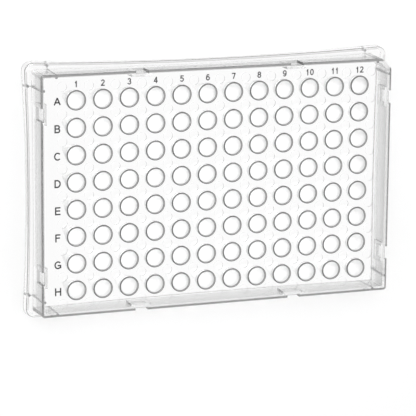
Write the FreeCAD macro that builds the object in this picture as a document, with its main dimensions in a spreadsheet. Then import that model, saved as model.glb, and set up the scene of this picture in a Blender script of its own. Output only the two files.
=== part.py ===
import FreeCAD, Part
import math
import os
import string

import Sketcher

# A skirted 96-well plate. A clear, stiff frame is moulded first: a flat deck with a grid of round
# holes, four thin walls below it, and a flange that steps out to the standard plate footprint.
# The wells are moulded into its holes afterwards: thin tubes of softer plastic, each held by its
# rim above the deck and its shoulder below.
#
# Frame: origin at the centre of the base, +Z up, +X from column 1 to column 12, +Y towards row A.
# All sizes are in millimetres and degrees.

SIZES = [
    # the standard footprint and heights
    ("footprint_length", 127.76, "outside length of the base"),
    ("footprint_width", 85.48, "outside width of the base"),
    ("total_height", 14.35, "base to the top of the well rims"),
    # deck and walls
    ("end_step", 2.68, "how far the deck's ends stand inside the base's"),
    ("side_step", 2.64, "how far the deck's long sides stand inside the base's"),
    ("deck_thickness", 1.2, "thickness of the deck"),
    ("wall_thickness", 1.2, "thickness of the walls"),
    ("wall_lean", 0.3, "how far a wall's foot stands outside the deck's edge"),
    ("wall_bow_length", 0.6, "how far a long wall's foot bows in at its middle"),
    ("wall_bow_width", 0.35, "how far a short wall's foot bows in at its middle"),
    ("deck_corner_radius", 1.0, "rounding of the wall corners, seen from above"),
    ("inner_corner_radius", 0.5, "the same inside the walls"),
    ("cut_corner", 3.5, "legs of the cut corner beside well A12"),
    ("deck_edge_radius", 0.3, "rounding of the deck's edge"),
    ("foot_radius", 0.7, "hollow rounding where a wall meets the flange"),
    # flange and lip
    ("lip_height", 3.3, "height of the outer lip"),
    ("lip_thickness", 1.1, "thickness of the outer lip"),
    ("lip_lean", 0.25, "how far the lip's foot stands outside its top"),
    ("flange_thickness", 1.2, "thickness of the flange between wall and lip"),
    ("lip_bow_length", 1.35, "how far a long side's lip bows in at its middle, at the top"),
    ("lip_bow_width", 0.85, "how far a short side's lip bows in at its middle, at the top"),
    ("foot_bow_length", 1.7, "how far a long side's lip bows in at its middle, at the base"),
    ("foot_bow_width", 1.25, "how far a short side's lip bows in at its middle, at the base"),
    ("flange_corner_radius", 3.0, "rounding of the lip's corners, seen from above"),
    ("lip_edge_radius", 0.4, "rounding of the lip's top edge"),
    # the grid of wells
    ("columns", 12, "wells in a row"),
    ("rows", 8, "rows of wells"),
    ("well_pitch", 9.0, "centre to centre of the wells, both ways"),
    # one well
    ("well_bore", 5.6, "inside diameter of a well at its mouth"),
    ("well_wall", 0.3, "thickness of a well's wall"),
    ("bore_depth", 3.25, "depth of the straight part of a well below its rim"),
    ("tip_radius", 1.2, "inside radius of a well's round bottom"),
    ("well_clearance", 0.9, "gap from a well's underside to the base"),
    ("rim_height", 0.4, "height of a well's rim above the deck"),
    ("rim_width", 0.5, "width of a well's rim, from the bore outwards"),
    ("rim_radius", 0.22, "rounding of the rim's two top edges"),
    ("shoulder_thickness", 0.5, "height of a well's shoulder below the deck"),
    ("moulding_gap", 0.02, "shrinkage gap between a well and the frame, all round"),
    # round marks of the ejector pins, on the deck's underside between the wells
    ("pin_mark_diameter", 3.2, "diameter of a pin mark"),
    ("pin_mark_depth", 0.25, "depth of a pin mark"),
    # grip notches in the deck's edges, two a side
    ("notch_width", 4.4, "width of a notch along the edge"),
    ("notch_depth", 0.9, "how far a notch goes in from the deck's edge"),
    ("notch_height", 5.8, "how far a notch goes down the wall"),
    ("notch_offset", 27.0, "distance of a notch's middle from the plate's middle line"),
    # witness marks of the mould's side cores, near each corner on both sides
    ("witness_inset", 5.2, "distance of a witness line from the deck's corner"),
    ("witness_width", 0.25, "width of the witness line down the wall"),
    ("witness_depth", 0.2, "depth of the witness line"),
    ("dot_diameter", 0.8, "diameter of the dots at both ends of the line"),
    ("dot_depth", 0.3, "depth of the dots"),
    ("dot_inset", 0.95, "distance of a deck dot's middle from the deck's edge"),
    ("nick_width", 1.0, "width of the small nick in the lip beside each line"),
    ("nick_depth", 0.5, "depth of that nick, inwards and down"),
]

doc = FreeCAD.newDocument("WellPlate")
sheet = doc.addObject("Spreadsheet::Sheet", "Sizes")
for line, (alias, number, meaning) in enumerate(SIZES, 1):
    sheet.set(f"A{line}", meaning)
    sheet.set(f"B{line}", str(number))
    sheet.setAlias(f"B{line}", alias)
doc.recompute()


def names(expression):
    """The expression with the sheet's name put before each of its aliases."""
    for alias, _, _ in sorted(SIZES, key=lambda entry: -len(entry[0])):
        expression = expression.replace(f"<{alias}>", f"Sizes.{alias}")
    return expression


def value(expression):
    """The number that an expression gives now."""
    result = sheet.evalExpression(names(expression))
    return float(getattr(result, "Value", result))


def bind(thing, prop, expression):
    """Binds a property of an object to the sheet."""
    thing.setExpression(prop, names(expression))


# Heights that several features share
DECK_TOP = "(<total_height> - <rim_height>)"
DECK_BOTTOM = f"({DECK_TOP} - <deck_thickness>)"
FLANGE_BOTTOM = "(<lip_height> - <flange_thickness>)"
NOTCH_BOTTOM = f"({DECK_TOP} - <notch_height>)"

# Half lengths and widths, at the base, the lip's top, the walls' foot and the deck
BASE = ("(<footprint_length> / 2)", "(<footprint_width> / 2)")
LIP = (f"({BASE[0]} - <lip_lean>)", f"({BASE[1]} - <lip_lean>)")
DECK = (f"({BASE[0]} - <end_step>)", f"({BASE[1]} - <side_step>)")
FOOT = (f"({DECK[0]} + <wall_lean>)", f"({DECK[1]} + <wall_lean>)")

# The first well, A1
FIRST_X = "(-(<columns> - 1) * <well_pitch> / 2)"
FIRST_Y = "((<rows> - 1) * <well_pitch> / 2)"

# A rounding between two sides that meet at 45 degrees takes this share of its radius from each
EIGHTH_TURN = math.tan(math.radians(45 / 2))
DIAGONAL = math.sqrt(1 / 2)

# A cut corner that runs parallel inside a wall is shorter by this share of the wall's thickness
CUT_SHARE = 2 - math.sqrt(2)

# Edges are picked by where they lie, to within this distance
TOLERANCE = 1e-3


def less(sizes, inset):
    """A pair of half sizes, made smaller all round."""
    return tuple(f"({size} - {inset})" for size in sizes)


def new_body(label):
    body = doc.addObject("PartDesign::Body", label)
    body.Label = label
    return body


def plane_of(body, role):
    return next(feature for feature in body.Origin.OriginFeatures if feature.Role == role)


def new_sketch(body, name, height="0", role="XY_Plane"):
    """A sketch on one of the body's own planes, moved along its normal to a height."""
    sketch = body.newObject("Sketcher::SketchObject", name)
    sketch.AttachmentSupport = (plane_of(body, role), [""])
    sketch.MapMode = "FlatFace"
    bind(sketch, "AttachmentOffset.Base.z", height)
    return sketch


def constrain(sketch, kind, references, expression):
    """Adds a sized constraint and binds it to the sheet."""
    index = sketch.addConstraint(Sketcher.Constraint(kind, *references, value(expression)))
    bind(sketch, f"Constraints[{index}]", expression)


def arc_between(start, end, radius, side):
    """The shorter arc from start to end. Side 1 puts its centre left of the way, -1 right of it."""
    chord = end - start
    middle = (start + end) / 2
    left = FreeCAD.Vector(-chord.y, chord.x, 0) / chord.Length
    centre = middle + left * side * math.sqrt(max(radius**2 - chord.Length**2 / 4, 0))
    angles = [math.atan2(p.y - centre.y, p.x - centre.x) for p in (start, end)[::side]]
    circle = Part.Circle(centre, FreeCAD.Vector(0, 0, 1), radius)
    return Part.ArcOfCircle(circle, *angles)


def draw_loop(sketch, corners, arcs=None):
    """A closed loop through the corners, each a pair of expressions.

    arcs gives a radius expression and a side for each edge that is an arc, by the number of the
    corner that it starts from. The other edges are straight.
    """
    arcs = arcs or {}
    count = len(corners)
    first = sketch.GeometryCount
    points = [FreeCAD.Vector(value(x), value(y), 0) for x, y in corners]
    starts = []
    for number in range(count):
        start, end = points[number], points[(number + 1) % count]
        if number in arcs:
            radius, side = arcs[number]
            sketch.addGeometry(arc_between(start, end, value(radius), side), False)
            constrain(sketch, "Radius", (first + number,), radius)
            starts.append(1 if side == 1 else 2)
        else:
            sketch.addGeometry(Part.LineSegment(start, end), False)
            starts.append(1)
    for number, (x, y) in enumerate(corners):
        edge, before = first + number, first + (number - 1) % count
        joint = Sketcher.Constraint("Coincident", before, 3 - starts[number - 1], edge, starts[number])
        sketch.addConstraint(joint)
        constrain(sketch, "DistanceX", (-1, 1, edge, starts[number]), x)
        constrain(sketch, "DistanceY", (-1, 1, edge, starts[number]), y)


def bow_radius(chord, bow):
    """The radius of the arc over a chord, from how far the arc bows."""
    return f"(({chord})^2 / (8 * {bow}) + {bow} / 2)"


def draw_four_sides(sketch, half, radius, bow_length, bow_width):
    """A rectangle with round corners, whose long and short sides bow in."""
    x, y = half
    flat_x, flat_y = f"({x} - {radius})", f"({y} - {radius})"
    corners = [(f"-{flat_x}", f"-{y}"), (flat_x, f"-{y}"), (x, f"-{flat_y}"), (x, flat_y)]
    corners += [(flat_x, y), (f"-{flat_x}", y), (f"-{x}", flat_y), (f"-{x}", f"-{flat_y}")]
    long_side = (bow_radius(f"2 * {flat_x}", bow_length), -1)
    short_side = (bow_radius(f"2 * {flat_y}", bow_width), -1)
    arcs = {0: long_side, 2: short_side, 4: long_side, 6: short_side}
    arcs.update({corner: (radius, 1) for corner in (1, 3, 5, 7)})
    draw_loop(sketch, corners, arcs)


def draw_five_sides(sketch, half, radius, cut, bowed):
    """The same with the corner beside A12 cut off, and with straight sides if it isn't bowed."""
    x, y = half
    flat_x, flat_y = f"({x} - {radius})", f"({y} - {radius})"
    before = f"{cut} + {radius} * {EIGHTH_TURN:.5f}"
    after = f"{radius} * {EIGHTH_TURN * DIAGONAL:.5f}"
    corners = [(f"-{flat_x}", f"-{y}"), (flat_x, f"-{y}"), (x, f"-{flat_y}")]
    corners += [(x, f"({y} - ({before}))"), (f"({x} - {after})", f"({y} - {cut} + {after})")]
    corners += [(f"({x} - {cut} + {after})", f"({y} - {after})"), (f"({x} - ({before}))", y)]
    corners += [(f"-{flat_x}", y), (f"-{x}", flat_y), (f"-{x}", f"-{flat_y}")]
    arcs = {corner: (radius, 1) for corner in (1, 3, 5, 7, 9)}
    if bowed:
        cut_short = f"- ({before}) - {radius}"
        arcs[0] = (bow_radius(f"2 * {flat_x}", "<wall_bow_length>"), -1)
        arcs[2] = (bow_radius(f"2 * {y} {cut_short}", "<wall_bow_width>"), -1)
        arcs[6] = (bow_radius(f"2 * {x} {cut_short}", "<wall_bow_length>"), -1)
        arcs[8] = (bow_radius(f"2 * {flat_y}", "<wall_bow_width>"), -1)
    draw_loop(sketch, corners, arcs)


def draw_box(sketch, x_low, x_high, y_low, y_high):
    corners = [(x_low, y_low), (x_high, y_low), (x_high, y_high), (x_low, y_high)]
    draw_loop(sketch, corners)


def draw_circle(sketch, x, y, radius):
    index = sketch.GeometryCount
    centre = FreeCAD.Vector(value(x), value(y), 0)
    sketch.addGeometry(Part.Circle(centre, FreeCAD.Vector(0, 0, 1), value(radius)), False)
    constrain(sketch, "DistanceX", (-1, 1, index, 3), x)
    constrain(sketch, "DistanceY", (-1, 1, index, 3), y)
    constrain(sketch, "Radius", (index,), radius)


def loft(body, name, lower, upper, adds=True):
    """A ruled loft between two sketches, added to the body or taken from it."""
    kind = "PartDesign::AdditiveLoft" if adds else "PartDesign::SubtractiveLoft"
    feature = body.newObject(kind, name)
    feature.Profile = lower
    feature.Sections = [upper]
    feature.Ruled = True
    doc.recompute()
    return feature


def pocket(body, name, sketch, depth=None):
    """Cuts a sketch downwards, to a depth or through everything."""
    feature = body.newObject("PartDesign::Pocket", name)
    feature.Profile = sketch
    if depth is None:
        feature.Type = "ThroughAll"
    else:
        feature.Type = "Length"
        bind(feature, "Length", depth)
    return feature


def grid(body, name, feature, counts, pitch):
    """Repeats a feature along +X and -Y."""
    pattern = body.newObject("PartDesign::LinearPattern", name)
    pattern.Originals = [feature]
    pattern.Direction = (feature.Profile[0], ["H_Axis"])
    pattern.Mode = "Spacing"
    bind(pattern, "Offset", pitch)
    bind(pattern, "Occurrences", counts[0])
    pattern.Direction2 = (feature.Profile[0], ["V_Axis"])
    pattern.Reversed2 = True
    pattern.Mode2 = "Spacing"
    bind(pattern, "Offset2", pitch)
    bind(pattern, "Occurrences2", counts[1])
    body.Tip = pattern
    doc.recompute()
    pattern.Spacings2 = [-1] * len(pattern.Spacings2)  # -1 stands for the common pitch
    doc.recompute()


def on_four_corners(body, name, feature):
    """Repeats a feature by mirroring it across both middle planes."""
    both = body.newObject("PartDesign::MultiTransform", name)
    both.Originals = [feature]
    mirrors = []
    for role in ("XZ_Plane", "YZ_Plane"):
        mirror = body.newObject("PartDesign::Mirrored", f"{name}_{role[:2].lower()}")
        mirror.MirrorPlane = (plane_of(body, role), [""])
        mirrors.append(mirror)
    both.Transformations = mirrors
    body.Tip = both
    doc.recompute()


def round_edges(body, name, wanted, radius):
    """Rounds those edges of the body's tip that the test picks."""
    base = body.Tip
    edges = [f"Edge{number}" for number, edge in enumerate(base.Shape.Edges, 1) if wanted(edge)]
    feature = body.newObject("PartDesign::Fillet", name)
    feature.Base = (base, edges)
    bind(feature, "Radius", radius)
    doc.recompute()


def lies_at(edge, height):
    box = edge.BoundBox
    return abs(box.ZMin - height) < TOLERANCE and abs(box.ZMax - height) < TOLERANCE


def within(edge, half):
    """True for an edge that stays inside a pair of half sizes."""
    box = edge.BoundBox
    x, y = (value(size) + TOLERANCE for size in half)
    return max(abs(box.XMin), abs(box.XMax)) < x and max(abs(box.YMin), abs(box.YMax)) < y


def build_outside(body):
    """The solid outer form: the flange with its lip, and the walls up to the deck."""
    base = new_sketch(body, "base_outline")
    draw_four_sides(base, BASE, "<flange_corner_radius>", "<foot_bow_length>", "<foot_bow_width>")
    lip = new_sketch(body, "lip_outline", "<lip_height>")
    draw_four_sides(lip, LIP, "<flange_corner_radius>", "<lip_bow_length>", "<lip_bow_width>")
    loft(body, "flange_block", base, lip)

    foot = new_sketch(body, "wall_foot_outline", "<lip_height>")
    draw_five_sides(foot, FOOT, "<deck_corner_radius>", "<cut_corner>", bowed=True)
    deck = new_sketch(body, "deck_outline", DECK_TOP)
    draw_five_sides(deck, DECK, "<deck_corner_radius>", "<cut_corner>", bowed=False)
    loft(body, "wall_block", foot, deck)

    deck_top, lip_top = value(DECK_TOP), value("<lip_height>")
    round_edges(body, "deck_edge", lambda e: lies_at(e, deck_top), "<deck_edge_radius>")
    foot_edges = lambda e: lies_at(e, lip_top) and within(e, FOOT)
    round_edges(body, "wall_foot", foot_edges, "<foot_radius>")
    lip_edges = lambda e: lies_at(e, lip_top) and not within(e, less(FOOT, "-<foot_radius>"))
    round_edges(body, "lip_edge", lip_edges, "<lip_edge_radius>")


def build_inside(body):
    """The hollow below the deck, which widens below the flange."""
    radius = "(<flange_corner_radius> - <lip_thickness>)"
    base = new_sketch(body, "lip_inside_base")
    half = less(BASE, "<lip_thickness>")
    draw_four_sides(base, half, radius, "<foot_bow_length>", "<foot_bow_width>")
    top = new_sketch(body, "lip_inside_top", FLANGE_BOTTOM)
    half = less(LIP, "<lip_thickness>")
    draw_four_sides(top, half, radius, "<lip_bow_length>", "<lip_bow_width>")
    loft(body, "lip_hollow", base, top, adds=False)

    cut = f"(<cut_corner> - {CUT_SHARE:.4f} * <wall_thickness>)"
    foot = new_sketch(body, "wall_inside_foot", FLANGE_BOTTOM)
    draw_five_sides(foot, less(FOOT, "<wall_thickness>"), "<inner_corner_radius>", cut, bowed=True)
    deck = new_sketch(body, "wall_inside_top", DECK_BOTTOM)
    draw_five_sides(deck, less(DECK, "<wall_thickness>"), "<inner_corner_radius>", cut, bowed=False)
    loft(body, "wall_hollow", foot, deck, adds=False)


def build_notches(body):
    """The grip notches, and the thicker wall behind each, on the long and the short sides."""
    offset, half = "<notch_offset>", "<notch_width> / 2"
    backing = "(<notch_width> / 2 + <wall_thickness>)"
    for name, along in (("long", True), ("short", False)):
        edge = DECK[1] if along else DECK[0]
        back = f"({edge} - <notch_depth>)"
        for kind, width, low, high, top in (
            ("backing", backing, f"{back} - <wall_thickness>", f"{edge} - <wall_thickness> / 2", DECK_BOTTOM),
            ("notch", half, back, f"{edge} + <wall_lean> + <wall_thickness>", DECK_TOP),
        ):
            sketch = new_sketch(body, f"{name}_{kind}_outline", top)
            sides = [f"({offset} - {width})", f"({offset} + {width})", f"({low})", f"({high})"]
            if not along:
                sides = sides[2:] + sides[:2]
            draw_box(sketch, *sides)
            if kind == "backing":
                feature = body.newObject("PartDesign::Pad", f"{name}_{kind}")
                feature.Profile = sketch
                feature.Reversed = True
                bind(feature, "Length", f"{top} - {NOTCH_BOTTOM} + <wall_thickness>")
            else:
                feature = pocket(body, f"{name}_{kind}", sketch, "<notch_height>")
            on_four_corners(body, f"{name}_{kind}es", feature)


def build_witness_marks(body):
    """Beside each corner, on both sides: a line down the wall with a dot at each end, and a nick."""
    inset, half, depth = "<witness_inset>", "(<witness_width> / 2)", "<witness_depth>"
    for name, along in (("long", True), ("short", False)):
        across, edge = (DECK[0], DECK[1]) if along else (DECK[1], DECK[0])
        place = f"({across} - {inset})"
        foot = f"({edge} + <wall_lean>)"
        lip = LIP[1] if along else LIP[0]

        def turned(pair):
            return pair if along else pair[::-1]

        line = []
        for end, wall, height in (("foot", foot, "<lip_height>"), ("top", edge, DECK_TOP)):
            sketch = new_sketch(body, f"{name}_line_{end}", height)
            low, high = f"({wall} - {depth})", f"({wall} + {depth})"
            sides = [(f"({place} - {half})", low), (f"({place} + {half})", low)]
            sides += [(f"({place} + {half})", high), (f"({place} - {half})", high)]
            draw_loop(sketch, [turned(side) for side in (sides if along else sides[::-1])])
            line.append(sketch)
        groove = loft(body, f"{name}_line", *line, adds=False)
        on_four_corners(body, f"{name}_lines", groove)

        for end, middle, height in (
            ("deck", f"({edge} - <dot_inset>)", DECK_TOP),
            ("flange", f"(({foot} + {lip}) / 2)", "<lip_height>"),
        ):
            sketch = new_sketch(body, f"{name}_{end}_dot_outline", height)
            draw_circle(sketch, *turned((place, middle)), "(<dot_diameter> / 2)")
            dot = pocket(body, f"{name}_{end}_dot", sketch, "<dot_depth>")
            on_four_corners(body, f"{name}_{end}_dots", dot)

        sketch = new_sketch(body, f"{name}_nick_outline", "<lip_height>")
        tip = (place, f"({lip} - <nick_depth>)")
        mouth = [(f"({place} {sign} <nick_width>)", f"({lip} + <nick_depth>)") for sign in "+-"]
        corners = [turned(corner) for corner in [tip, *mouth]]
        draw_loop(sketch, corners if along else corners[::-1])
        nick = pocket(body, f"{name}_nick", sketch, "<nick_depth>")
        on_four_corners(body, f"{name}_nicks", nick)


def build_frame():
    body = new_body("frame")
    build_outside(body)
    build_inside(body)
    build_notches(body)
    build_witness_marks(body)

    hole = new_sketch(body, "first_hole", DECK_TOP)
    draw_circle(hole, FIRST_X, FIRST_Y, "(<well_bore> / 2 + <well_wall> + <moulding_gap>)")
    grid(body, "holes", pocket(body, "hole", hole), ("<columns>", "<rows>"), "<well_pitch>")

    mark = new_sketch(body, "first_pin_mark", f"({DECK_BOTTOM} + <pin_mark_depth>)")
    x, y = f"({FIRST_X} - <well_pitch> / 2)", f"({FIRST_Y} + <well_pitch> / 2)"
    draw_circle(mark, x, y, "(<pin_mark_diameter> / 2)")
    pin = pocket(body, "pin_mark", mark, "<pin_mark_depth>")
    grid(body, "pin_marks", pin, ("<columns> + 1", "<rows> + 1"), "<well_pitch>")
    return body


def draw_well(sketch):
    """Half of a well's section: radius across, height up.

    The cone's wall is tangent to the round tip, whose middle lies on the axis. Its slope is the
    angle from the axis to the line from the tip's middle to the cone's mouth, less the angle that
    the tip's radius takes of it.
    """
    bore = "(<well_bore> / 2)"
    neck = f"({bore} + <well_wall>)"
    rim = f"({bore} + <rim_width>)"
    tip = "<tip_radius>"
    outer_tip = "(<tip_radius> + <well_wall>)"
    middle = f"(<well_clearance> + {outer_tip})"
    mouth = "(<total_height> - <bore_depth>)"
    rise = f"({mouth} - {middle})"
    slope = f"(atan({bore} / {rise}) - asin({tip} / sqrt({bore}^2 + {rise}^2)))"
    outer_mouth = f"({mouth} - <well_wall> * tan({slope} / 2))"
    top = "<total_height>"
    shoulder_top = f"({DECK_BOTTOM} - <moulding_gap>)"
    shoulder_bottom = f"({shoulder_top} - <shoulder_thickness>)"
    rim_bottom = f"({DECK_TOP} + <moulding_gap>)"
    corners = [
        ("0", "<well_clearance>"),
        (f"({outer_tip} * cos({slope}))", f"({middle} - {outer_tip} * sin({slope}))"),
        (neck, outer_mouth),
        (neck, shoulder_bottom),
        (rim, shoulder_bottom),
        (rim, shoulder_top),
        (neck, shoulder_top),
        (neck, rim_bottom),
        (rim, rim_bottom),
        (rim, f"({top} - <rim_radius>)"),
        (f"({rim} - <rim_radius>)", top),
        (f"({bore} + <rim_radius>)", top),
        (bore, f"({top} - <rim_radius>)"),
        (bore, mouth),
        (f"({tip} * cos({slope}))", f"({middle} - {tip} * sin({slope}))"),
        ("0", "(<well_clearance> + <well_wall>)"),
    ]
    arcs = {0: (outer_tip, 1), 9: ("<rim_radius>", 1), 11: ("<rim_radius>", 1), 14: (tip, -1)}
    draw_loop(sketch, corners, arcs)


def build_row(letter, number):
    """One row of wells, moulded into the frame's holes."""
    body = new_body(f"wells_row_{letter}")
    profile = new_sketch(body, f"well_section_{letter}", role="XZ_Plane")
    draw_well(profile)
    well = body.newObject("PartDesign::Revolution", f"well_{letter}")
    well.Profile = profile
    well.ReferenceAxis = (profile, ["V_Axis"])
    well.Angle = 360
    row = body.newObject("PartDesign::LinearPattern", f"row_{letter}")
    row.Originals = [well]
    row.Direction = (profile, ["H_Axis"])
    row.Mode = "Spacing"
    bind(row, "Offset", "<well_pitch>")
    bind(row, "Occurrences", "<columns>")
    body.Tip = row
    bind(body, "Placement.Base.x", FIRST_X)
    bind(body, "Placement.Base.y", f"({FIRST_Y} - {number} * <well_pitch>)")
    doc.recompute()
    return body


pieces = [build_frame()]
for number, letter in enumerate(string.ascii_lowercase[: round(value("<rows>"))]):
    pieces.append(build_row(letter, number))
doc.recompute()

for thing in doc.Objects:
    if {"Invalid", "Error"} & set(thing.State):
        raise RuntimeError(f"{thing.Label} failed: {thing.State}")
for piece in pieces:
    if piece.Shape.isNull() or not piece.Shape.isValid():
        raise RuntimeError(f"{piece.Label} has no valid shape")

os.makedirs("parts", exist_ok=True)
for piece in pieces:
    piece.Shape.exportStep(f"parts/{piece.Label}.step")
    box = piece.Shape.BoundBox
    size = " x ".join(f"{length:.2f}" for length in (box.XLength, box.YLength, box.ZLength))
    print(f"{piece.Label}: {len(piece.Shape.Solids)} solids, {piece.Shape.Volume:.1f} mm3, {size} mm")
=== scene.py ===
import bpy
import numpy as np
from bpy.props import FloatProperty, FloatVectorProperty, PointerProperty, StringProperty
from mathutils import Matrix, Vector


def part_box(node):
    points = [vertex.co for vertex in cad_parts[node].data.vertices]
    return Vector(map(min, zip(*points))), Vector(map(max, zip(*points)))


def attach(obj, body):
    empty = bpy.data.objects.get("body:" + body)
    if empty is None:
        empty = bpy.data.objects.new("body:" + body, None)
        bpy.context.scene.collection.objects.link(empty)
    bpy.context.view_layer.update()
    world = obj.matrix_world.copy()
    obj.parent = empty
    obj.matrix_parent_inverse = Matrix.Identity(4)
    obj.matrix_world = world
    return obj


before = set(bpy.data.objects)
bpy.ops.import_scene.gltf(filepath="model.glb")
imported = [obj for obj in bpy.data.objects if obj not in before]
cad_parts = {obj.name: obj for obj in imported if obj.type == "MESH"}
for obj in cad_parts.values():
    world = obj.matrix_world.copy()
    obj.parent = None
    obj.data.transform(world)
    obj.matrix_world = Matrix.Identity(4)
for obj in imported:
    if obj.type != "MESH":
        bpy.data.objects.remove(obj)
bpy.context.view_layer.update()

bl_info = {
    "name": "Well Plate",
    "version": (1, 0, 0),
    "blender": (4, 5, 0),
    "location": "3D View > Sidebar > Well Plate",
    "description": "Finishes a clear skirted plate of small wells: materials, printed labels and a plain stage",
    "category": "Object",
}

MM = 0.001
DECK_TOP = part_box("frame")[1][2]
ROWS = sorted(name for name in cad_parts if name.startswith("wells_row_"))
COLUMNS = 12

# The places that the materials mark, all in mm, out from the plate's middle and up from its base. One quarter of
# the plate stands for all four. In a pair such as WITNESS_ALONG, the first number is for the plate's two ends and
# the second for its two long sides. SOFT is the width over which most of the masks fade.
DECK = DECK_TOP / MM
SOFT = 0.05

# What the mould left beside each corner: a line down the wall, with a dot at both of its ends. These real marks
# are drawn in grey painted shade. First the line's place along the side, how far out it starts, half its width,
# and how far from it the painted shade of the rounded foot ends.
WITNESS_ALONG, WITNESS_FROM, WITNESS_HALF, WITNESS_CLEAR = (34.9, 56.0), (61.0, 39.9), 0.13, 0.6
MOULD_DOTS, DOT_RADIUS = ((56.0, 39.15), (56.0, 41.45), (60.25, 34.9), (62.57, 34.9)), 0.4

# The notches' middles along their sides, half their width, their ledges' height, their backs, and how far out the
# walls' painted shade ends beside them. Then half the width of the painted shade lines along their edges, and the
# ledge line's own softness and strength.
NOTCH_MIDDLE, NOTCH_HALF, NOTCH_FOOT = 27.0, 2.2, 8.15
NOTCH_BACK, NOTCH_CLEAR = (60.3, 39.2), (58.7, 37.7)
NOTCH_SIDE_LINE, NOTCH_EDGE_LINE, NOTCH_LEDGE_SOFT, NOTCH_LEDGE_SHARE = 0.06, 0.08, 0.04, 0.75

# Half of the lip's outline at its corners, how far its sides bow in, its corners' radius, its thickness, its top,
# half the width of the painted shade line along it, and how far into the corner that line fades
LIP_HALF, LIP_BOW, LIP_CORNER, LIP_INSIDE, LIP_TOP = (63.63, 42.49), (0.85, 1.35), 3.0, 0.6, 3.3
LIP_LINE, LIP_FADE = 0.1, 0.5

# The border round the deck that is painted grey as shade, and heights between which a mask goes from 0 to 1: the
# border's own, the rounded foot of the walls, the walls' inner faces, and the walls' painted shade
BORDER_FROM, BORDER_RISE = (60.45, 39.2), (DECK - 0.5, DECK - 0.3)
FOOT_FALL, INNER_RISE, WALL_RISE = (3.32, 3.28), (2.2, 2.3), (3.5, DECK)

# Numbers between which a mask by slope goes from 0 to 1. The first three are the upright part of the face's
# normal, the next is its part along X, and the last is how far the face looks away from the plate's middle, in mm.
UPRIGHT_FACE, LEANING_FACE, TILTED_FACE = (0.4, 0.3), (0.12, 0.3), (0.97, 0.88)
END_FACE, INWARD_FACE = (0.5, 0.6), (-10, -20)

# One well: the radius and half the width of the dark ring of painted shade along its rim, then of the painted
# shade ring round its mouth, with the heights where that one comes in, and where the painted shade on its shoulder
# under the deck starts, outwards and downwards
RIM_MIDDLE, RIM_HALF = 3.15, 0.12
MOUTH_RADIUS, MOUTH_HALF, MOUTH_RISE = 2.8, 0.05, (DECK - 0.1, DECK + 0.2)
SHOULDER_RADIUS, SHOULDER_FALL = 3.2, (DECK - 0.5, DECK - 1.1)

# Real sizes of the patterns: from one flow mark of the moulding to the next, the clouds in the milky plastic, and
# the grain of the printed ink. Then how much more or less milky the clouds are.
FLOW_MARKS, CLOUDS, INK_GRAIN = 14.0, 2.0, 0.15
CLOUD_SHARE = 0.05

# The stage: how far out the white behind clear plastic starts and stops to fade, in metres, and how high in the
# sky the light does. Then the camera's sensor in mm, and the ways that its right side and its front face.
FLOOR_FADE, SKY_FADE = (0.10, 0.22), (0.15, 0.5)
SENSOR_WIDTH = 36
CAMERA_RIGHT, CAMERA_FORWARD = Vector((0.9402, 0.0088, 0.3405)), Vector((0.3342, -0.2173, -0.9171))


def linear(code):
    """sRGB hex to linear: c / 12.92 up to 0.04045, and ((c + 0.055) / 1.055) ^ 2.4 above it."""
    shown = np.array([int(code[place:place + 2], 16) for place in (1, 3, 5)]) / 255
    light = np.where(shown <= 0.04045, shown / 12.92, ((shown + 0.055) / 1.055) ** 2.4)
    return (*light, 1.0)


def add_node(tree, kind, inputs=None, **settings):
    """Adds a node with its settings. An input is a value, or the socket that feeds it."""
    node = tree.nodes.new(kind)
    for name, setting in settings.items():
        setattr(node, name, setting)
    for name, given in (inputs or {}).items():
        if isinstance(given, bpy.types.NodeSocket):
            tree.links.new(given, node.inputs[name])
        else:
            node.inputs[name].default_value = given
    return node


def new_material(name):
    """A material with an empty node tree and its output node."""
    material = bpy.data.materials.new(name)
    material.use_nodes = True
    tree = material.node_tree
    tree.nodes.clear()
    return material, tree, tree.nodes.new("ShaderNodeOutputMaterial")


def all_of(tree, *parts):
    """A mask that is 1 where every part holds, and the product of the parts elsewhere.

    A part is a mask, or a number's socket with the number at which the part is 0 and the one at which it is 1.
    """
    whole = None
    for part in parts:
        if isinstance(part, tuple):
            number, none, full = part
            part = add_node(tree, "ShaderNodeMapRange", {"Value": number, 1: none, 2: full}).outputs[0]
        if whole is not None:
            part = add_node(tree, "ShaderNodeMath", {0: whole, 1: part}, operation="MULTIPLY").outputs[0]
        whole = part
    return whole


def any_of(tree, *masks):
    """A mask that is 1 where any of the masks is, and the greatest of them elsewhere."""
    whole, *others = masks
    for mask in others:
        whole = add_node(tree, "ShaderNodeMath", {0: whole, 1: mask}, operation="MAXIMUM").outputs[0]
    return whole


def distance_to(tree, number, middle):
    """How far the number is from the middle, above or below it."""
    off = add_node(tree, "ShaderNodeMath", {0: number, 1: middle}, operation="SUBTRACT").outputs[0]
    return add_node(tree, "ShaderNodeMath", {0: off}, operation="ABSOLUTE").outputs[0]


def near(tree, number, middle, reach, soft):
    """A mask that is 1 where the number is within reach of the middle, and 0 past the soft border round that."""
    return all_of(tree, (distance_to(tree, number, middle), reach + soft, reach))


def painted(tree, colour, *coats):
    """A hex colour under coats of others. Each coat is a mask and the hex tint that it shows where it is 1."""
    colour = linear(colour)
    for mask, tint in coats:
        coat = add_node(tree, "ShaderNodeMix", {0: mask, 6: colour, 7: linear(tint)}, data_type="RGBA")
        colour = coat.outputs[2]
    return colour


def lets_lamps_through(tree, shader, tint):
    """Clear plastic for the eye, and a thin tint for lamps, so that its shadow stays as light as a real one."""
    path = add_node(tree, "ShaderNodeLightPath").outputs
    thin = add_node(tree, "ShaderNodeBsdfTransparent", {"Color": linear(tint)}).outputs[0]
    return add_node(tree, "ShaderNodeMixShader", {0: path["Is Shadow Ray"], 1: shader, 2: thin}).outputs[0]


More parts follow.
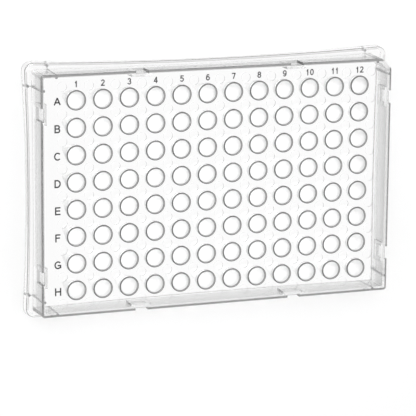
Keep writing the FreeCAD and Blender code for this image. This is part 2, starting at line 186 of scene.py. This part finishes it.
def notch_lines(tree, along, across, z, back):
    """A mask of painted shade for the notches' outline in two sides: their side faces, top edge and ledge's
    border.
    """
    off = distance_to(tree, along, NOTCH_MIDDLE)
    side_faces = all_of(tree, near(tree, off, NOTCH_HALF, NOTCH_SIDE_LINE, SOFT),
                        (across, back - 3 * SOFT, back - 2 * SOFT), (z, NOTCH_FOOT - 2 * SOFT, NOTCH_FOOT - SOFT))
    inside = all_of(tree, (off, NOTCH_HALF + 3 * SOFT, NOTCH_HALF + 2 * SOFT))
    top_edge = all_of(tree, inside, near(tree, across, back, NOTCH_EDGE_LINE, SOFT),
                      (z, DECK - 4 * SOFT, DECK - 2 * SOFT))
    ledge = all_of(tree, inside, near(tree, z, NOTCH_FOOT, NOTCH_EDGE_LINE, NOTCH_LEDGE_SOFT),
                   (across, back - 2 * SOFT, back - SOFT))
    ledge = add_node(tree, "ShaderNodeMath", {0: ledge, 1: NOTCH_LEDGE_SHARE}, operation="MULTIPLY").outputs[0]
    return any_of(tree, side_faces, top_edge, ledge)


def lip_line(tree, along, across, z, side):
    """A mask for the painted shade line above the lip's inner face, on two sides.

    The face stands LIP_INSIDE within the outline. At a share s of the way from the side's middle to the start of
    its corner, the outline is LIP_BOW * (1 - s ^ 2) further in than at the corner.
    """
    straight = LIP_HALF[1 - side] - LIP_CORNER
    share = add_node(tree, "ShaderNodeMath", {0: along, 1: straight}, operation="DIVIDE").outputs[0]
    square = add_node(tree, "ShaderNodeMath", {0: share, 1: share}, operation="MULTIPLY").outputs[0]
    level = add_node(tree, "ShaderNodeMath", {0: square, 1: -LIP_BOW[side], 2: across}, operation="MULTIPLY_ADD")
    middle = LIP_HALF[side] - LIP_BOW[side] - LIP_INSIDE
    return all_of(tree, near(tree, level.outputs[0], middle, LIP_LINE, 2 * SOFT),
                  (along, straight + LIP_FADE, straight), near(tree, z, LIP_TOP, SOFT, SOFT))


def side_masks(tree, along, across, z, side):
    """The masks by name for the plate's two ends, where side is 0, or for its two long sides, where it is 1."""
    notch_from, border_from, witness_from = NOTCH_CLEAR[side], BORDER_FROM[side], WITNESS_FROM[side]
    return {
        "lip": lip_line(tree, along, across, z, side),
        "notch": notch_lines(tree, along, across, z, NOTCH_BACK[side]),
        "in_notch": all_of(tree, near(tree, along, NOTCH_MIDDLE, NOTCH_HALF, SOFT),
                           (across, notch_from, notch_from + 2 * SOFT)),
        "border": all_of(tree, (across, border_from, border_from + 3 * SOFT)),
        "witness": all_of(tree, near(tree, along, WITNESS_ALONG[side], WITNESS_HALF, SOFT),
                          (across, witness_from, witness_from + 2 * SOFT)),
        "beside_witness": near(tree, along, WITNESS_ALONG[side], WITNESS_CLEAR, 2 * SOFT),
    }


# Polycarbonate, injection moulded in a polished tool and left uncoloured. Its flat faces are as clear as glass
# with very slight flow marks, and the walls' inner faces are a little rough. Clear plastic bends light away from
# the eye at the walls, the deck's border, rounded edges and the notches' edges, so there the colour has grey
# painted shade, the short walls darker than the long ones. The mould's small marks are real, and their grey is
# painted shade too.
def polycarbonate():
    look = bpy.context.scene.plate_look
    material, tree, output = new_material("polycarbonate_moulded_clear")
    spot = add_node(tree, "ShaderNodeTexCoord").outputs
    place = add_node(tree, "ShaderNodeVectorMath", {0: spot["Object"], "Scale": 1 / MM}, operation="SCALE")
    place = place.outputs[0]
    quarter = add_node(tree, "ShaderNodeVectorMath", {0: place}, operation="ABSOLUTE").outputs[0]
    x, y, z = add_node(tree, "ShaderNodeSeparateXYZ", {"Vector": quarter}).outputs
    turn = add_node(tree, "ShaderNodeVectorMath", {0: spot["Normal"]}, operation="ABSOLUTE").outputs[0]
    turn = add_node(tree, "ShaderNodeSeparateXYZ", {"Vector": turn}).outputs
    facing = add_node(tree, "ShaderNodeVectorMath", {0: spot["Normal"], 1: place}, operation="DOT_PRODUCT")

    ends, long_sides = side_masks(tree, y, x, z, 0), side_masks(tree, x, y, z, 1)
    sides = {name: any_of(tree, mask, long_sides[name]) for name, mask in ends.items()}
    rounding = all_of(tree, (turn["Z"], *LEANING_FACE), (turn["Z"], *TILTED_FACE), (z, *FOOT_FALL),
                      (sides["beside_witness"], 1, 0))
    upright = all_of(tree, (turn["Z"], *UPRIGHT_FACE))
    wall = all_of(tree, upright, (z, *WALL_RISE), (sides["in_notch"], 1, 0))
    flat = add_node(tree, "ShaderNodeVectorMath", {0: quarter, 1: (1, 1, 0)}, operation="MULTIPLY").outputs[0]
    dots = []
    for dot in MOULD_DOTS:
        away = add_node(tree, "ShaderNodeVectorMath", {0: flat, 1: (*dot, 0)}, operation="DISTANCE")
        dots.append(all_of(tree, (away.outputs["Value"], DOT_RADIUS + 2 * SOFT, DOT_RADIUS)))
    # Painted shade in greys over the clear frame: rounded foot, lip line, walls, deck border, notch outlines,
    # mould marks
    colour = painted(
        tree, look.frame_colour,
        (rounding, look.edge_shade_colour),
        (sides["lip"], look.lip_shade_colour),
        (all_of(tree, wall, (turn["X"], *END_FACE)), look.end_wall_shade_colour),
        (all_of(tree, wall, (turn["X"], *END_FACE[::-1])), look.side_wall_shade_colour),
        (all_of(tree, sides["border"], (z, *BORDER_RISE)), look.deck_border_shade_colour),
        (sides["notch"], look.edge_shade_colour),
        (sides["witness"], look.witness_mark_and_shade_colour),
        (any_of(tree, *dots), look.dot_mark_and_shade_colour),
    )

    flow = add_node(tree, "ShaderNodeTexNoise", {
        "Vector": spot["Object"], "Scale": 1 / (FLOW_MARKS * MM), "Detail": 2.0,
    })
    rough = add_node(tree, "ShaderNodeMapRange", {"Value": flow.outputs[0], 3: 0.0, 4: look.frame_roughness})
    inner = all_of(tree, upright, (facing.outputs["Value"], *INWARD_FACE), (z, *INNER_RISE))
    rough = add_node(tree, "ShaderNodeMath", {
        0: inner, 1: look.inner_roughness, 2: rough.outputs[0],
    }, operation="MULTIPLY_ADD")
    clear = add_node(tree, "ShaderNodeBsdfPrincipled", {
        "Base Color": colour, "IOR": look.frame_ior, "Transmission Weight": 1.0, "Roughness": rough.outputs[0],
    })
    shown = lets_lamps_through(tree, clear.outputs[0], look.frame_shadow_colour)
    tree.links.new(shown, output.inputs["Surface"])
    soak = add_node(tree, "ShaderNodeVolumeAbsorption", {
        "Color": linear(look.frame_depth_colour), "Density": look.frame_depth_density,
    })
    tree.links.new(soak.outputs[0], output.inputs["Volume"])
    return material


# Natural polypropylene, moulded very thin. The plastic's crystals make it milky, so a tube reads as soft white.
# Its shoulder under the deck is painted a little greyer as shade. The rounded bead of each rim stands above the
# deck and bends the light away; a thin dark ring of painted shade stands for that, with a finer one painted round
# the mouth.
def polypropylene():
    look = bpy.context.scene.plate_look
    material, tree, output = new_material("polypropylene_natural_thin")
    spot = add_node(tree, "ShaderNodeTexCoord").outputs["Object"]
    place = add_node(tree, "ShaderNodeVectorMath", {0: spot, "Scale": 1 / MM}, operation="SCALE").outputs[0]
    z = add_node(tree, "ShaderNodeSeparateXYZ", {"Vector": place}).outputs["Z"]
    pitch = bpy.context.scene.plate_labels.pitch / MM
    cell = add_node(tree, "ShaderNodeVectorMath", {0: place, 1: (1 / pitch, 1 / pitch, 0)}, operation="MULTIPLY")
    cell = add_node(tree, "ShaderNodeVectorMath", {0: cell.outputs[0]}, operation="FRACTION")
    cell = add_node(tree, "ShaderNodeVectorMath", {0: cell.outputs[0], 1: (0.5, 0.5, 0)}, operation="SUBTRACT")
    radius = add_node(tree, "ShaderNodeVectorMath", {0: cell.outputs[0]}, operation="LENGTH").outputs["Value"]
    radius = add_node(tree, "ShaderNodeMath", {0: radius, 1: pitch}, operation="MULTIPLY").outputs[0]
    # Dark rings of painted shade on the rim's bead and round the mouth, and painted shade on the shoulder under
    # the deck
    ring = all_of(tree, near(tree, radius, RIM_MIDDLE, RIM_HALF, 2 * SOFT), (z, DECK - SOFT, DECK))
    mouth = all_of(tree, near(tree, radius, MOUTH_RADIUS, MOUTH_HALF, SOFT), (z, *MOUTH_RISE))
    shoulder = all_of(tree, (radius, SHOULDER_RADIUS, SHOULDER_RADIUS + SOFT), (z, *SHOULDER_FALL))
    colour = painted(tree, look.well_colour, (shoulder, look.shoulder_shade_colour),
                     (any_of(tree, ring, mouth), look.rim_shade_colour))

    clouds = add_node(tree, "ShaderNodeTexNoise", {"Vector": spot, "Scale": 1 / (CLOUDS * MM), "Detail": 2.0})
    milky = add_node(tree, "ShaderNodeMapRange", {
        "Value": clouds.outputs[0],
        3: look.well_milkiness * (1 - CLOUD_SHARE), 4: look.well_milkiness * (1 + CLOUD_SHARE),
    })
    clear = add_node(tree, "ShaderNodeBsdfPrincipled", {
        "Base Color": colour, "IOR": look.well_ior, "Transmission Weight": 1.0, "Roughness": look.well_roughness,
    })
    glow = add_node(tree, "ShaderNodeBsdfTranslucent", {"Color": colour})
    back = add_node(tree, "ShaderNodeBsdfDiffuse", {"Color": colour})
    milk = add_node(tree, "ShaderNodeMixShader", {0: 0.5, 1: glow.outputs[0], 2: back.outputs[0]})
    both = add_node(tree, "ShaderNodeMixShader", {0: milky.outputs[0], 1: clear.outputs[0], 2: milk.outputs[0]})
    shown = lets_lamps_through(tree, both.outputs[0], look.well_shadow_colour)
    tree.links.new(shown, output.inputs["Surface"])
    return material


# Black pad-printing ink on the bare plastic: matt, thin, and a little uneven.
def printing_ink():
    look = bpy.context.scene.plate_look
    material, tree, output = new_material("pad_printing_ink_black")
    spot = add_node(tree, "ShaderNodeTexCoord").outputs["Object"]
    grain = add_node(tree, "ShaderNodeTexNoise", {"Vector": spot, "Scale": 1 / (INK_GRAIN * MM), "Detail": 3.0})
    ink = add_node(tree, "ShaderNodeBsdfPrincipled", {
        "Base Color": painted(tree, look.ink_colour, (grain.outputs[0], look.ink_grain_colour)),
        "Roughness": look.ink_roughness,
    })
    tree.links.new(ink.outputs[0], output.inputs["Surface"])
    return material


# Matt white board. The eye sees it as white with the plate's shadow, clear plastic shows it as white that falls
# off away from the plate, and for the light that it throws on the plate it is plain matt board.
def white_board():
    stage = bpy.context.scene.plate_stage
    material, tree, output = new_material("matt_white_board")
    path = add_node(tree, "ShaderNodeLightPath").outputs
    spot = add_node(tree, "ShaderNodeTexCoord").outputs["Object"]
    away = add_node(tree, "ShaderNodeVectorMath", {0: spot}, operation="LENGTH").outputs["Value"]
    fade = add_node(tree, "ShaderNodeMapRange", {
        "Value": away, 1: FLOOR_FADE[0], 2: FLOOR_FADE[1], 3: 1.0, 4: stage.side_light,
    })
    plain = add_node(tree, "ShaderNodeBsdfDiffuse", {"Color": linear(stage.floor_colour)})
    seen = add_node(tree, "ShaderNodeBsdfDiffuse", {"Color": linear(stage.seen_floor_colour)})
    glow = add_node(tree, "ShaderNodeEmission", {"Strength": stage.seen_floor_glow})
    seen = add_node(tree, "ShaderNodeAddShader", {0: seen.outputs[0], 1: glow.outputs[0]})
    behind = add_node(tree, "ShaderNodeEmission", {"Strength": fade.outputs[0]})
    direct = any_of(tree, path["Is Camera Ray"], path["Is Glossy Ray"])
    shown = add_node(tree, "ShaderNodeMixShader", {0: direct, 1: plain.outputs[0], 2: seen.outputs[0]})
    shown = add_node(tree, "ShaderNodeMixShader", {
        0: path["Is Transmission Ray"], 1: shown.outputs[0], 2: behind.outputs[0],
    })
    tree.links.new(shown.outputs[0], output.inputs["Surface"])
    return material


# The degrees of a bow between two points, the gap between two signs as a share of their height, and two shares of
# the ink's thickness: how much higher each stroke stands than the one before it, and how far the middle of the ink
# stands above the deck
BOW_STEP, SIGN_GAP, STROKE_RISE, INK_RISE = 12, 0.18, 0.02, 0.45


def line(*points):
    """A straight stroke between two points."""
    return np.array(points, float)


def bow(middle, reach, start, end):
    """Part of an ellipse: middle + reach * (cos t, sin t), for t from start to end in degrees."""
    angle = np.radians(np.linspace(start, end, 2 + int(abs(end - start) / BOW_STEP)))
    return np.array(middle) + np.array(reach) * np.column_stack([np.cos(angle), np.sin(angle)])


# Plain signs as strokes. Each has its width as a share of its height, and its strokes' middle lines in a unit
# square.
SIX = [bow((0.5, 0.31), (0.5, 0.31), 0, 360), bow((0.54, 0.42), (0.54, 0.58), 48, 185)]
SIGNS = {
    "A": (0.90, [line((0, -0.04), (0.5, 1.03)), line((0.5, 1.03), (1, -0.04)), line((0.22, 0.32), (0.78, 0.32))]),
    "B": (0.73, [line((0, 0), (0, 1)), line((0, 1), (0.55, 1)), line((0, 0.53), (0.6, 0.53)),
                 line((0, 0), (0.6, 0)), bow((0.55, 0.765), (0.38, 0.235), -90, 90),
                 bow((0.6, 0.265), (0.4, 0.265), -90, 90)]),
    "C": (0.87, [bow((0.52, 0.5), (0.52, 0.5), 42, 318)]),
    "D": (0.80, [line((0, 0), (0, 1)), line((0, 1), (0.4, 1)), line((0, 0), (0.4, 0)),
                 bow((0.4, 0.5), (0.6, 0.5), -90, 90)]),
    "E": (0.70, [line((0, 0), (0, 1)), line((0, 1), (1, 1)), line((0, 0.53), (0.92, 0.53)), line((0, 0), (1, 0))]),
    "F": (0.66, [line((0, 0), (0, 1)), line((0, 1), (1, 1)), line((0, 0.53), (0.86, 0.53))]),
    "G": (0.91, [bow((0.5, 0.5), (0.5, 0.5), 42, 330), line((0.94, 0.12), (0.94, 0.44)),
                 line((0.56, 0.44), (0.94, 0.44))]),
    "H": (0.80, [line((0, 0), (0, 1)), line((1, 0), (1, 1)), line((0, 0.53), (1, 0.53))]),
    "0": (0.62, [bow((0.5, 0.5), (0.5, 0.5), 0, 360)]),
    "1": (0.50, [line((0.62, 0), (0.62, 1)), line((0.62, 0.98), (0.1, 0.66))]),
    "2": (0.63, [bow((0.5, 0.72), (0.47, 0.28), 170, -32), line((0.9, 0.57), (0.04, 0.03)), line((0, 0), (1, 0))]),
    "3": (0.63, [bow((0.46, 0.765), (0.42, 0.235), 165, -90), bow((0.46, 0.265), (0.52, 0.265), 90, -165)]),
    "4": (0.66, [line((0.7, 1.0), (0, 0.28)), line((0, 0.26), (1, 0.26)), line((0.72, 0), (0.72, 1))]),
    "5": (0.63, [line((0.16, 1), (0.92, 1)), line((0.16, 1), (0.06, 0.5)),
                 bow((0.46, 0.32), (0.52, 0.32), 145, -160)]),
    "6": (0.64, SIX),
    "7": (0.62, [line((0, 1), (1, 1)), line((0.98, 0.98), (0.34, -0.05))]),
    "8": (0.64, [bow((0.5, 0.77), (0.42, 0.23), 0, 360), bow((0.5, 0.27), (0.5, 0.27), 0, 360)]),
    "9": (0.64, [1 - stroke for stroke in SIX]),
}


def ink_stroke(path, width, thickness):
    """One stroke of ink, a rectangle carried along a path.

    At each point of the path the rectangle's half width lies along the mean of the normals of the two runs that
    meet there, divided by the cosine of half the turn between them. Its half thickness lies along Z.
    """
    closed = np.allclose(path[0], path[-1])
    runs = np.diff(path, axis=0)
    runs /= np.linalg.norm(runs, axis=1, keepdims=True)
    before = np.vstack([runs[-1] if closed else runs[0], runs])
    after = np.vstack([runs, runs[0] if closed else runs[-1]])
    mean = before + after
    mean /= np.linalg.norm(mean, axis=1, keepdims=True)
    stretch = width / 2 / np.sum(mean * after, axis=1, keepdims=True)
    side = np.column_stack([-mean[:, 1], mean[:, 0]]) * stretch
    count = len(path) - closed
    corners = np.empty((count, 4, 3))
    for corner, (across, up) in enumerate(((1, -1), (-1, -1), (-1, 1), (1, 1))):
        corners[:, corner, :2] = (path + across * side)[:count]
        corners[:, corner, 2] = up * thickness / 2
    here = np.arange(count if closed else count - 1)[:, None] * 4
    there = (here + 4) % (count * 4)
    first, second = np.arange(4), (np.arange(4) + 1) % 4
    faces = np.stack([here + first, there + first, there + second, here + second], axis=2).reshape(-1, 4)
    if not closed:
        faces = np.vstack([faces, [0, 1, 2, 3], np.array([3, 2, 1, 0]) + (count - 1) * 4])
    return corners.reshape(-1, 3), faces


def printed_word(word, height, weight, thickness):
    """The strokes of one word, centred on its own middle, as pairs of arrays of vertices and faces.

    A straight stroke that runs along X or Y is longer by half its width at both ends, so that corners close. Each
    stroke stands a hair higher than the one before it, so that no two of their faces lie in one plane.
    """
    width = weight * height
    start, strokes = 0.0, []
    for sign in word:
        share, paths = SIGNS[sign]
        span = np.array([share * height, height]) - width
        for path in paths:
            placed = path * span + (start + width / 2, width / 2)
            way = placed[-1] - placed[0]
            if len(placed) == 2 and np.isclose(way, 0).any():
                placed += np.outer((-1, 1), way / np.linalg.norm(way) * width / 2)
            strokes.append(placed)
        start += (share + SIGN_GAP) * height
    middle = ((start - SIGN_GAP * height) / 2, height / 2)
    pieces = []
    for number, placed in enumerate(strokes):
        vertices, faces = ink_stroke(placed - middle, width, thickness)
        vertices[:, 2] += number * STROKE_RISE * thickness
        pieces.append((vertices, faces))
    return pieces


def finish_piece(name, vertices, faces, material):
    """Puts arrays of vertices (metres, in the plate's frame) and faces into a piece of the object."""
    mesh = bpy.data.meshes.new(name)
    mesh.from_pydata(vertices.tolist(), [], faces.tolist())
    mesh.update()
    mesh.materials.append(material)
    piece = bpy.data.objects.new(name, mesh)
    bpy.context.scene.collection.objects.link(piece)
    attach(piece, "root")


def finish_node(name, material):
    """Gives one CAD node its material."""
    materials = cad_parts[name].data.materials
    materials.clear()
    materials.append(material)


class PlateLook(bpy.types.PropertyGroup):
    frame_colour: StringProperty(
        name="Frame colour", description="Tint of the clear frame, sRGB hex", default="#FFFFFF")
    frame_depth_colour: StringProperty(
        name="Frame depth colour", description="Tint that thick clear plastic takes on, sRGB hex",
        default="#959595")
    frame_depth_density: FloatProperty(
        name="Frame depth density", description="How fast the frame takes on that tint, per metre", default=14.0)
    frame_shadow_colour: StringProperty(
        name="Frame shadow colour", description="Tint of the frame for the lamps, sRGB hex", default="#F4F4F4")
    # Painted shade on the rounded foot and on the notches' outlines
    edge_shade_colour: StringProperty(
        name="Edge colour", description="Tint of the rounded edges and the notches' outlines, sRGB hex",
        default="#858585")
    # Painted shade on the short walls' upper part, darker than on the long walls
    end_wall_shade_colour: StringProperty(
        name="End wall colour", description="Tint of the short walls' upper part, sRGB hex", default="#BABABA")
    # Painted shade on the long walls' upper part
    side_wall_shade_colour: StringProperty(
        name="Side wall colour", description="Tint of the long walls' upper part, sRGB hex", default="#D6D6D6")
    # Painted shade on the deck's border
    deck_border_shade_colour: StringProperty(
        name="Deck edge colour", description="Tint of the deck's border, sRGB hex", default="#6A6A6A")
    # Painted shade line above the lip's inner face
    lip_shade_colour: StringProperty(
        name="Lip colour", description="Tint of the line above the lip's inner face, sRGB hex", default="#B0B0B0")
    # The mould's witness lines are real marks; their grey is painted shade
    witness_mark_and_shade_colour: StringProperty(
        name="Witness colour", description="Tint of the mould's witness lines, sRGB hex", default="#C4C4C4")
    # The mould's dots are real marks; their grey is painted shade
    dot_mark_and_shade_colour: StringProperty(
        name="Mark colour", description="Tint of the mould's small dots, sRGB hex", default="#747475")
    frame_ior: FloatProperty(
        name="Frame IOR", description="How strongly the frame bends light", default=1.585)
    frame_roughness: FloatProperty(
        name="Frame roughness", description="Most roughness of the frame's flow marks", default=0.03,
        subtype="FACTOR")
    inner_roughness: FloatProperty(
        name="Inner roughness", description="Roughness of the walls' inner faces", default=0.2, subtype="FACTOR")
    well_colour: StringProperty(
        name="Well colour", description="Tint of the wells, sRGB hex", default="#FFFFFF")
    well_shadow_colour: StringProperty(
        name="Well shadow colour", description="Tint of the wells for the lamps, sRGB hex", default="#F9F9F9")
    # Painted shade on the wells' shoulders under the deck
    shoulder_shade_colour: StringProperty(
        name="Shoulder colour", description="Tint of the wells' shoulders under the deck, sRGB hex",
        default="#DCDCDC")
    # Painted shade rings on the rims' beads and round the mouths
    rim_shade_colour: StringProperty(
        name="Rim colour", description="Tint of the rims' beads, sRGB hex", default="#6C6C6C")
    well_ior: FloatProperty(
        name="Well IOR", description="How strongly the wells bend light", default=1.49)
    well_roughness: FloatProperty(
        name="Well roughness", description="Roughness of the wells' clear part", default=0.08, subtype="FACTOR")
    well_milkiness: FloatProperty(
        name="Well milkiness", description="Share of light that the wells scatter", default=0.9, subtype="FACTOR")
    ink_colour: StringProperty(
        name="Ink colour", description="Colour of the printed labels, sRGB hex", default="#121214")
    ink_grain_colour: StringProperty(
        name="Ink grain colour", description="Colour where the ink is thinner, sRGB hex", default="#2A2A2C")
    ink_roughness: FloatProperty(
        name="Ink roughness", description="Roughness of the printed ink", default=0.55, subtype="FACTOR")


class PlateLabels(bpy.types.PropertyGroup):
    pitch: FloatProperty(
        name="Pitch", description="Centre to centre of the wells", default=9 * MM, unit="LENGTH")
    number_height: FloatProperty(
        name="Number height", description="Height of the column numbers", default=2.1 * MM, unit="LENGTH")
    number_offset: FloatProperty(
        name="Number offset", description="Row A's centres to the numbers' middles", default=5.3 * MM,
        unit="LENGTH")
    letter_height: FloatProperty(
        name="Letter height", description="Height of the row letters", default=2.65 * MM, unit="LENGTH")
    letter_offset: FloatProperty(
        name="Letter offset", description="Column 1's centres to the letters' middles", default=6.3 * MM,
        unit="LENGTH")
    letter_drop: FloatProperty(
        name="Letter drop", description="How far the letters stand below their row's centres", default=0.1 * MM,
        unit="LENGTH")
    weight: FloatProperty(
        name="Weight", description="Width of a stroke as a share of the height", default=0.165, subtype="FACTOR")
    ink_thickness: FloatProperty(
        name="Ink thickness", description="Thickness of the printed ink", default=0.02 * MM, unit="LENGTH")


class PlateStage(bpy.types.PropertyGroup):
    lens: FloatProperty(
        name="Lens", description="Focal length in millimetres", default=207.69, unit="CAMERA")
    camera_place: FloatVectorProperty(
        name="Camera", description="Where the camera stands", default=(-0.26951, 0.16559, 0.74242), subtype="XYZ",
        unit="LENGTH")
    floor_size: FloatProperty(
        name="Floor", description="Half the floor's width", default=1.5, unit="LENGTH")
    floor_colour: StringProperty(
        name="Floor colour", description="Colour of the floor for the light on the plate, sRGB hex",
        default="#F2F2F2")
    seen_floor_colour: StringProperty(
        name="Seen floor colour", description="Colour of the floor for the eye, sRGB hex", default="#E8E8E8")
    seen_floor_glow: FloatProperty(
        name="Seen floor glow", description="White that the eye sees on top of the floor's colour", default=0.08,
        subtype="FACTOR")
    side_light: FloatProperty(
        name="Side light", description="Light from low down, as a share of the light from above", default=0.7,
        subtype="FACTOR")
    lamp_place: FloatVectorProperty(
        name="Lamp", description="Where the soft box hangs", default=(-0.2, 0.5, 0.9), subtype="XYZ",
        unit="LENGTH")
    lamp_size: FloatProperty(
        name="Lamp size", description="Width of the soft box", default=0.6, unit="LENGTH")
    lamp_power: FloatProperty(
        name="Lamp power", description="Power of the soft box", default=6, unit="POWER")


class PLATE_OT_frame(bpy.types.Operator):
    """Gives the moulded frame its clear plastic"""
    bl_idname = "plate.frame"
    bl_label = "Frame"

    def execute(self, context):
        finish_node("frame", polycarbonate())
        return {"FINISHED"}


class PLATE_OT_wells(bpy.types.Operator):
    """Gives the rows of wells their thin plastic"""
    bl_idname = "plate.wells"
    bl_label = "Wells"

    def execute(self, context):
        plastic = polypropylene()
        for name in ROWS:
            finish_node(name, plastic)
        return {"FINISHED"}


class PLATE_OT_labels(bpy.types.Operator):
    """Prints the row letters and the column numbers on the deck"""
    bl_idname = "plate.labels"
    bl_label = "Printed labels"

    def execute(self, context):
        labels = context.scene.plate_labels
        first = np.array([-(COLUMNS - 1) / 2, (len(ROWS) - 1) / 2]) * labels.pitch
        words = []
        for column in range(COLUMNS):
            middle = (first[0] + column * labels.pitch, first[1] + labels.number_offset)
            words.append((str(column + 1), labels.number_height, middle))
        for row, name in enumerate(ROWS):
            middle = (first[0] - labels.letter_offset, first[1] - row * labels.pitch - labels.letter_drop)
            words.append((name[-1].upper(), labels.letter_height, middle))
        vertices, faces, count = [], [], 0
        for word, height, middle in words:
            for points, quads in printed_word(word, height, labels.weight, labels.ink_thickness):
                vertices.append(points + (*middle, DECK_TOP + labels.ink_thickness * INK_RISE))
                faces.append(quads + count)
                count += len(points)
        finish_piece("printed_labels", np.vstack(vertices), np.vstack(faces), printing_ink())
        return {"FINISHED"}


class PLATE_OT_stage(bpy.types.Operator):
    """Sets the floor, the lamp, the sky and the camera"""
    bl_idname = "plate.stage"
    bl_label = "Stage"

    def execute(self, context):
        scene = context.scene
        stage = scene.plate_stage
        # Light passes from face to face inside clear plastic many times before it leaves.
        scene.cycles.max_bounces = 40
        scene.cycles.transmission_bounces = 40
        scene.cycles.glossy_bounces = 8
        scene.cycles.transparent_max_bounces = 16

        half = stage.floor_size
        mesh = bpy.data.meshes.new("floor")
        corners = [(-half, -half, 0), (half, -half, 0), (half, half, 0), (-half, half, 0)]
        mesh.from_pydata(corners, [], [(0, 1, 2, 3)])
        mesh.materials.append(white_board())
        floor = bpy.data.objects.new("floor", mesh)
        scene.collection.objects.link(floor)

        world = bpy.data.worlds.new("studio")
        scene.world = world
        world.use_nodes = True
        tree = world.node_tree
        tree.nodes.clear()
        output = tree.nodes.new("ShaderNodeOutputWorld")
        eye = add_node(tree, "ShaderNodeLightPath").outputs["Is Camera Ray"]
        way = add_node(tree, "ShaderNodeTexCoord").outputs["Generated"]
        height = add_node(tree, "ShaderNodeSeparateXYZ", {"Vector": way}).outputs["Z"]
        fade = add_node(tree, "ShaderNodeMapRange", {
            "Value": height, 1: SKY_FADE[0], 2: SKY_FADE[1], 3: stage.side_light, 4: 1.0,
        })
        white = add_node(tree, "ShaderNodeBackground", {"Strength": 1.0})
        light = add_node(tree, "ShaderNodeBackground", {"Strength": fade.outputs[0]})
        mixed = add_node(tree, "ShaderNodeMixShader", {0: eye, 1: light.outputs[0], 2: white.outputs[0]})
        tree.links.new(mixed.outputs[0], output.inputs["Surface"])

        camera_data = bpy.data.cameras.new("camera")
        camera_data.lens = stage.lens
        camera_data.sensor_width = SENSOR_WIDTH
        camera = bpy.data.objects.new("camera", camera_data)
        right = CAMERA_RIGHT.normalized()
        back = -(CAMERA_FORWARD - right * CAMERA_FORWARD.dot(right)).normalized()
        up = back.cross(right)
        turn = Matrix((right, up, back)).transposed().to_4x4()
        camera.matrix_world = Matrix.Translation(stage.camera_place) @ turn
        scene.collection.objects.link(camera)
        scene.camera = camera

        lamp_data = bpy.data.lights.new("soft_box", "AREA")
        lamp_data.size = stage.lamp_size
        lamp_data.energy = stage.lamp_power
        lamp = bpy.data.objects.new("soft_box", lamp_data)
        lamp.location = stage.lamp_place
        lamp.rotation_euler = (-Vector(stage.lamp_place)).to_track_quat("-Z", "Y").to_euler()
        scene.collection.objects.link(lamp)
        return {"FINISHED"}


class PLATE_PT_panel(bpy.types.Panel):
    """Shows the plate's settings and the buttons that apply them"""
    bl_idname = "PLATE_PT_panel"
    bl_label = "Well Plate"
    bl_space_type = "VIEW_3D"
    bl_region_type = "UI"
    bl_category = "Well Plate"

    def draw(self, context):
        for group, operators in PANEL_ROWS:
            box = self.layout.box()
            settings = getattr(context.scene, group)
            for name in settings.__annotations__:
                box.prop(settings, name)
            for operator in operators:
                box.operator(operator)


PANEL_ROWS = (
    ("plate_look", ("plate.frame", "plate.wells")),
    ("plate_labels", ("plate.labels",)),
    ("plate_stage", ("plate.stage",)),
)
GROUPS = {"plate_look": PlateLook, "plate_labels": PlateLabels, "plate_stage": PlateStage}
CLASSES = (*GROUPS.values(), PLATE_OT_frame, PLATE_OT_wells, PLATE_OT_labels, PLATE_OT_stage, PLATE_PT_panel)


def register():
    for thing in CLASSES:
        bpy.utils.register_class(thing)
    for name, group in GROUPS.items():
        setattr(bpy.types.Scene, name, PointerProperty(type=group))


def unregister():
    for name in GROUPS:
        delattr(bpy.types.Scene, name)
    for thing in reversed(CLASSES):
        bpy.utils.unregister_class(thing)


def main():
    register()
    bpy.context.scene.view_settings.view_transform = "Standard"
    bpy.ops.plate.stage()
    bpy.ops.plate.frame()
    bpy.ops.plate.wells()
    bpy.ops.plate.labels()
    bpy.context.view_layer.update()


if __name__ == "__main__":
    main()
